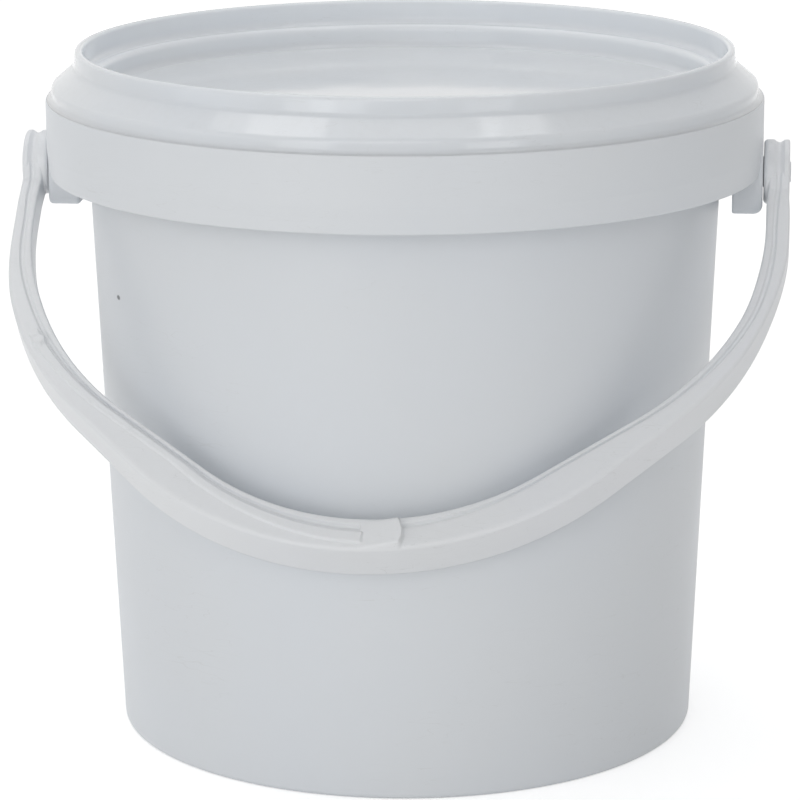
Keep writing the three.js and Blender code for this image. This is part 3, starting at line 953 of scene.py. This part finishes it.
tubLook = {
    "colour": (0.75, 0.78, 0.815, 1),
    "tint": (0.76, 0.785, 0.81, 1),
    "cloudScale": 18,
    "roughness": (0.36, 0.46),
    "ior": 1.49,
    "glow": 0.0,
    "glowRadius": (1, 1, 1),
    "glowScale": 0.0015,
    "paintedGlowThrough": 0.0,
    "speck": {
        "place": (-0.04934, -0.03025, 0.08604),
        "squash": (1, 0.35, 1),
        "radii": (0.0003, 0.00055),
        "colour": (0.17, 0.18, 0.19, 1),
    },
    "marks": {"Scale": 55, "Width": 0.004, "Strength": 0.25},
    "markColour": (0.62, 0.63, 0.63, 1),
    "dust": {"Scale": 600, "Amount": 0.06},
    "dustColour": (0.45, 0.44, 0.42, 1),
    "wornRoughness": 0.3,
    "skin": {"Grain Scale": 2600, "Grain Depth": 0.000006, "Sink Scale": 45, "Sink Depth": 0.00012},
    "bump": 0.6,
}
lidLook = {
    **tubLook,
    "glow": 0.5,
    # level of the painted glow that lifts the shade in the recess
    "paintedGlowThrough": 0.07,
    "speck": None,
    "cloudScale": 25,
    "roughness": (0.05, 0.09),
    "marks": {"Scale": 70, "Width": 0.004, "Strength": 0.3},
    "dust": {"Scale": 700, "Amount": 0.08},
    "skin": {"Grain Scale": 1800, "Grain Depth": 0.000002, "Sink Scale": 60, "Sink Depth": 0.00012},
}
handleLook = {
    **tubLook,
    "speck": None,
    "colour": (0.81, 0.825, 0.85, 1),
    "tint": (0.815, 0.83, 0.845, 1),
    "cloudScale": 30,
    "roughness": (0.30, 0.42),
    "marks": {"Scale": 90, "Width": 0.006, "Strength": 0.35},
    "dust": {"Scale": 900, "Amount": 0.05},
}

pieceFrom(
    "tubMoulding",
    [turned(pailProfile(), tubSizes["segments"]), gateShell()]
    + [turnedBy(ribShell(), (i + 0.5) * 2 * math.pi / collarSizes["ribCount"])
       for i in range(collarSizes["ribCount"])]
    + [lugShell(lugSizes["cornerRight"]), mirroredX(lugShell(lugSizes["cornerLeft"]))],
    plasticFinish("satinTubPlastic", tubLook), "tub",
)
pieceFrom(
    "lidMoulding", [turned(lidProfile(), lidSizes["segments"])],
    plasticFinish("glossyLidPlastic", lidLook), "lid",
)
pieceFrom(
    "handleMoulding",
    [hung(shell) for shell in (shaped(bandShell()), earShell(), mirroredX(earShell()))],
    plasticFinish("satinHandlePlastic", handleLook), "handle",
)

# Floor, light and camera

stageSizes = {
    "floor": 8.0,
    "floorColour": (0.86, 0.86, 0.86, 1),
    "whiteShare": 0.5,
    "ambient": 0.456,
    "ambientTilt": 0.18,  # the even light is this share stronger on the left and weaker on the right
}
cameraView = {
    "focalLength": 165.68,
    "sensor": 36.0,
    "distance": 0.6773,
    "height": 0.2295,
    "pitch": 14.02,
    "yaw": -0.097,
    "roll": -0.237,
    "tubTurn": 5.6,
}
lamps = {
    "overheadLeft": {
        "place": (-0.36, -0.03, 1.1), "size": (0.24, 0.34), "radiance": 1.5, "aim": (0, 0, 0.1),
    },
    "overheadRight": {
        "place": (0.33, -0.03, 1.1), "size": (0.20, 0.34), "radiance": 1.85, "aim": (0, 0, 0.1),
    },
    "overheadBack": {
        "place": (-0.2, 0.5, 1.6), "size": (1.4, 1.2), "radiance": 1.05, "aim": (0, 0, 0.1),
    },
    "broadFront": {
        "place": (-0.25, -1.85, 0.62), "size": (1.6, 0.9), "radiance": 1.42, "aim": (0, 0, 0.08),
    },
    "broadLeft": {
        "place": (-1.5, -0.9, 0.5), "size": (1.2, 1.0), "radiance": 0.45, "aim": (0, 0, 0.08),
    },
    "lowLeft": {
        "place": (-0.198, -0.437, 0.072), "size": (0.133, 0.135), "radiance": 1.5, "aim": (0, 0, 0.072),
    },
    "lowRight": {
        "place": (0.252, -0.408, 0.072), "size": (0.118, 0.135), "radiance": 1.6, "aim": (0, 0, 0.072),
    },
}


def seenWhite(tree):
    # One where a ray comes from the camera, a mirror reflection or through glass, and zero elsewhere.
    rays = addNode(tree, "ShaderNodeLightPath").outputs
    share = calculate(tree, "MAXIMUM", rays["Is Camera Ray"], rays["Is Glossy Ray"])
    return calculate(tree, "MAXIMUM", share, rays["Is Transmission Ray"])


def mixShaders(tree, factor, first, second):
    # The first node's shader where the factor is zero, and the second's where it is one.
    inputs = {0: factor, 1: first.outputs[0], 2: second.outputs[0]}
    return addNode(tree, "ShaderNodeMixShader", inputs).outputs[0]


def makeFloor():
    # A plain pale floor: part plain white to what sees it directly, the rest keeps the shadow.
    half = stageSizes["floor"] / 2
    mesh = bpy.data.meshes.new("floor")
    corners = [(-half, -half, 0), (half, -half, 0), (half, half, 0), (-half, half, 0)]
    mesh.from_pydata(corners, [], [(0, 1, 2, 3)])
    material = bpy.data.materials.new("paleFloor")
    material.use_nodes = True
    tree = material.node_tree
    tree.nodes.clear()
    output = addNode(tree, "ShaderNodeOutputMaterial")
    plain = addNode(tree, "ShaderNodeBsdfDiffuse", {"Color": stageSizes["floorColour"]})
    glow = addNode(tree, "ShaderNodeEmission", {"Strength": stageSizes["whiteShare"]})
    lit = addNode(tree, "ShaderNodeAddShader", {0: plain.outputs[0], 1: glow.outputs[0]})
    tree.links.new(mixShaders(tree, seenWhite(tree), plain, lit), output.inputs["Surface"])
    mesh.materials.append(material)
    floor = bpy.data.objects.new("floor", mesh)
    bpy.context.scene.collection.objects.link(floor)


def makeWorld():
    # An even soft light, which shows as plain white behind the object.
    world = bpy.data.worlds.new("studio")
    bpy.context.scene.world = world
    world.use_nodes = True
    tree = world.node_tree
    tree.nodes.clear()
    output = addNode(tree, "ShaderNodeOutputWorld")
    ahead = addNode(tree, "ShaderNodeTexCoord").outputs["Generated"]
    toRight = addNode(tree, "ShaderNodeSeparateXYZ", {"Vector": ahead}).outputs["X"]
    ambient, tilt = stageSizes["ambient"], stageSizes["ambientTilt"]
    level = spread(tree, toRight, -1, 1, ambient * (1 + tilt), ambient * (1 - tilt))
    plainWhite = (1, 1, 1, 1)
    soft = addNode(tree, "ShaderNodeBackground", {"Color": plainWhite, "Strength": level})
    white = addNode(tree, "ShaderNodeBackground", {"Color": plainWhite, "Strength": 1.0})
    tree.links.new(mixShaders(tree, seenWhite(tree), soft, white), output.inputs["Surface"])


def makeLamp(name, lamp):
    # An area lamp whose power gives the stated radiance: power = pi * area * radiance.
    light = bpy.data.lights.new(name, "AREA")
    light.shape = "RECTANGLE"
    light.size, light.size_y = lamp["size"]
    light.energy = math.pi * lamp["size"][0] * lamp["size"][1] * lamp["radiance"]
    holder = bpy.data.objects.new(name, light)
    bpy.context.scene.collection.objects.link(holder)
    holder.visible_camera = False
    place, aim = np.array(lamp["place"]), np.array(lamp["aim"])
    away = (place - aim) / np.linalg.norm(place - aim)
    side = np.cross([0, 1, 0], away)
    side /= np.linalg.norm(side)
    axes = np.column_stack([side, np.cross(away, side), away])
    holder.matrix_world = Matrix.Translation(lamp["place"]) @ Matrix(axes.tolist()).to_4x4()


def makeCamera():
    # The camera stands in front, raised, looks down by its pitch, and is turned about Z with the tub.
    view = cameraView
    pitch, yaw, roll, turn = (math.radians(view[key]) for key in ("pitch", "yaw", "roll", "tubTurn"))
    ahead = np.array([math.sin(yaw) * math.cos(pitch), math.cos(yaw) * math.cos(pitch), -math.sin(pitch)])
    right = np.array([math.cos(yaw), -math.sin(yaw), 0])
    up = np.cross(right, ahead)
    axes = np.column_stack([
        right * math.cos(roll) + up * math.sin(roll),
        up * math.cos(roll) - right * math.sin(roll),
        -ahead,
    ])
    camera = bpy.data.cameras.new("photoCamera")
    camera.sensor_width, camera.lens = view["sensor"], view["focalLength"]
    holder = bpy.data.objects.new("photoCamera", camera)
    bpy.context.scene.collection.objects.link(holder)
    place = Matrix.Translation((0, -view["distance"], view["height"])) @ Matrix(axes.tolist()).to_4x4()
    holder.matrix_world = Matrix.Rotation(turn, 4, "Z") @ place
    bpy.context.scene.camera = holder


makeFloor()
makeWorld()
for lampName, lampSizes in lamps.items():
    makeLamp(lampName, lampSizes)
makeCamera()
bpy.context.scene.view_settings.view_transform = "Standard"
print("floor, light and camera made")
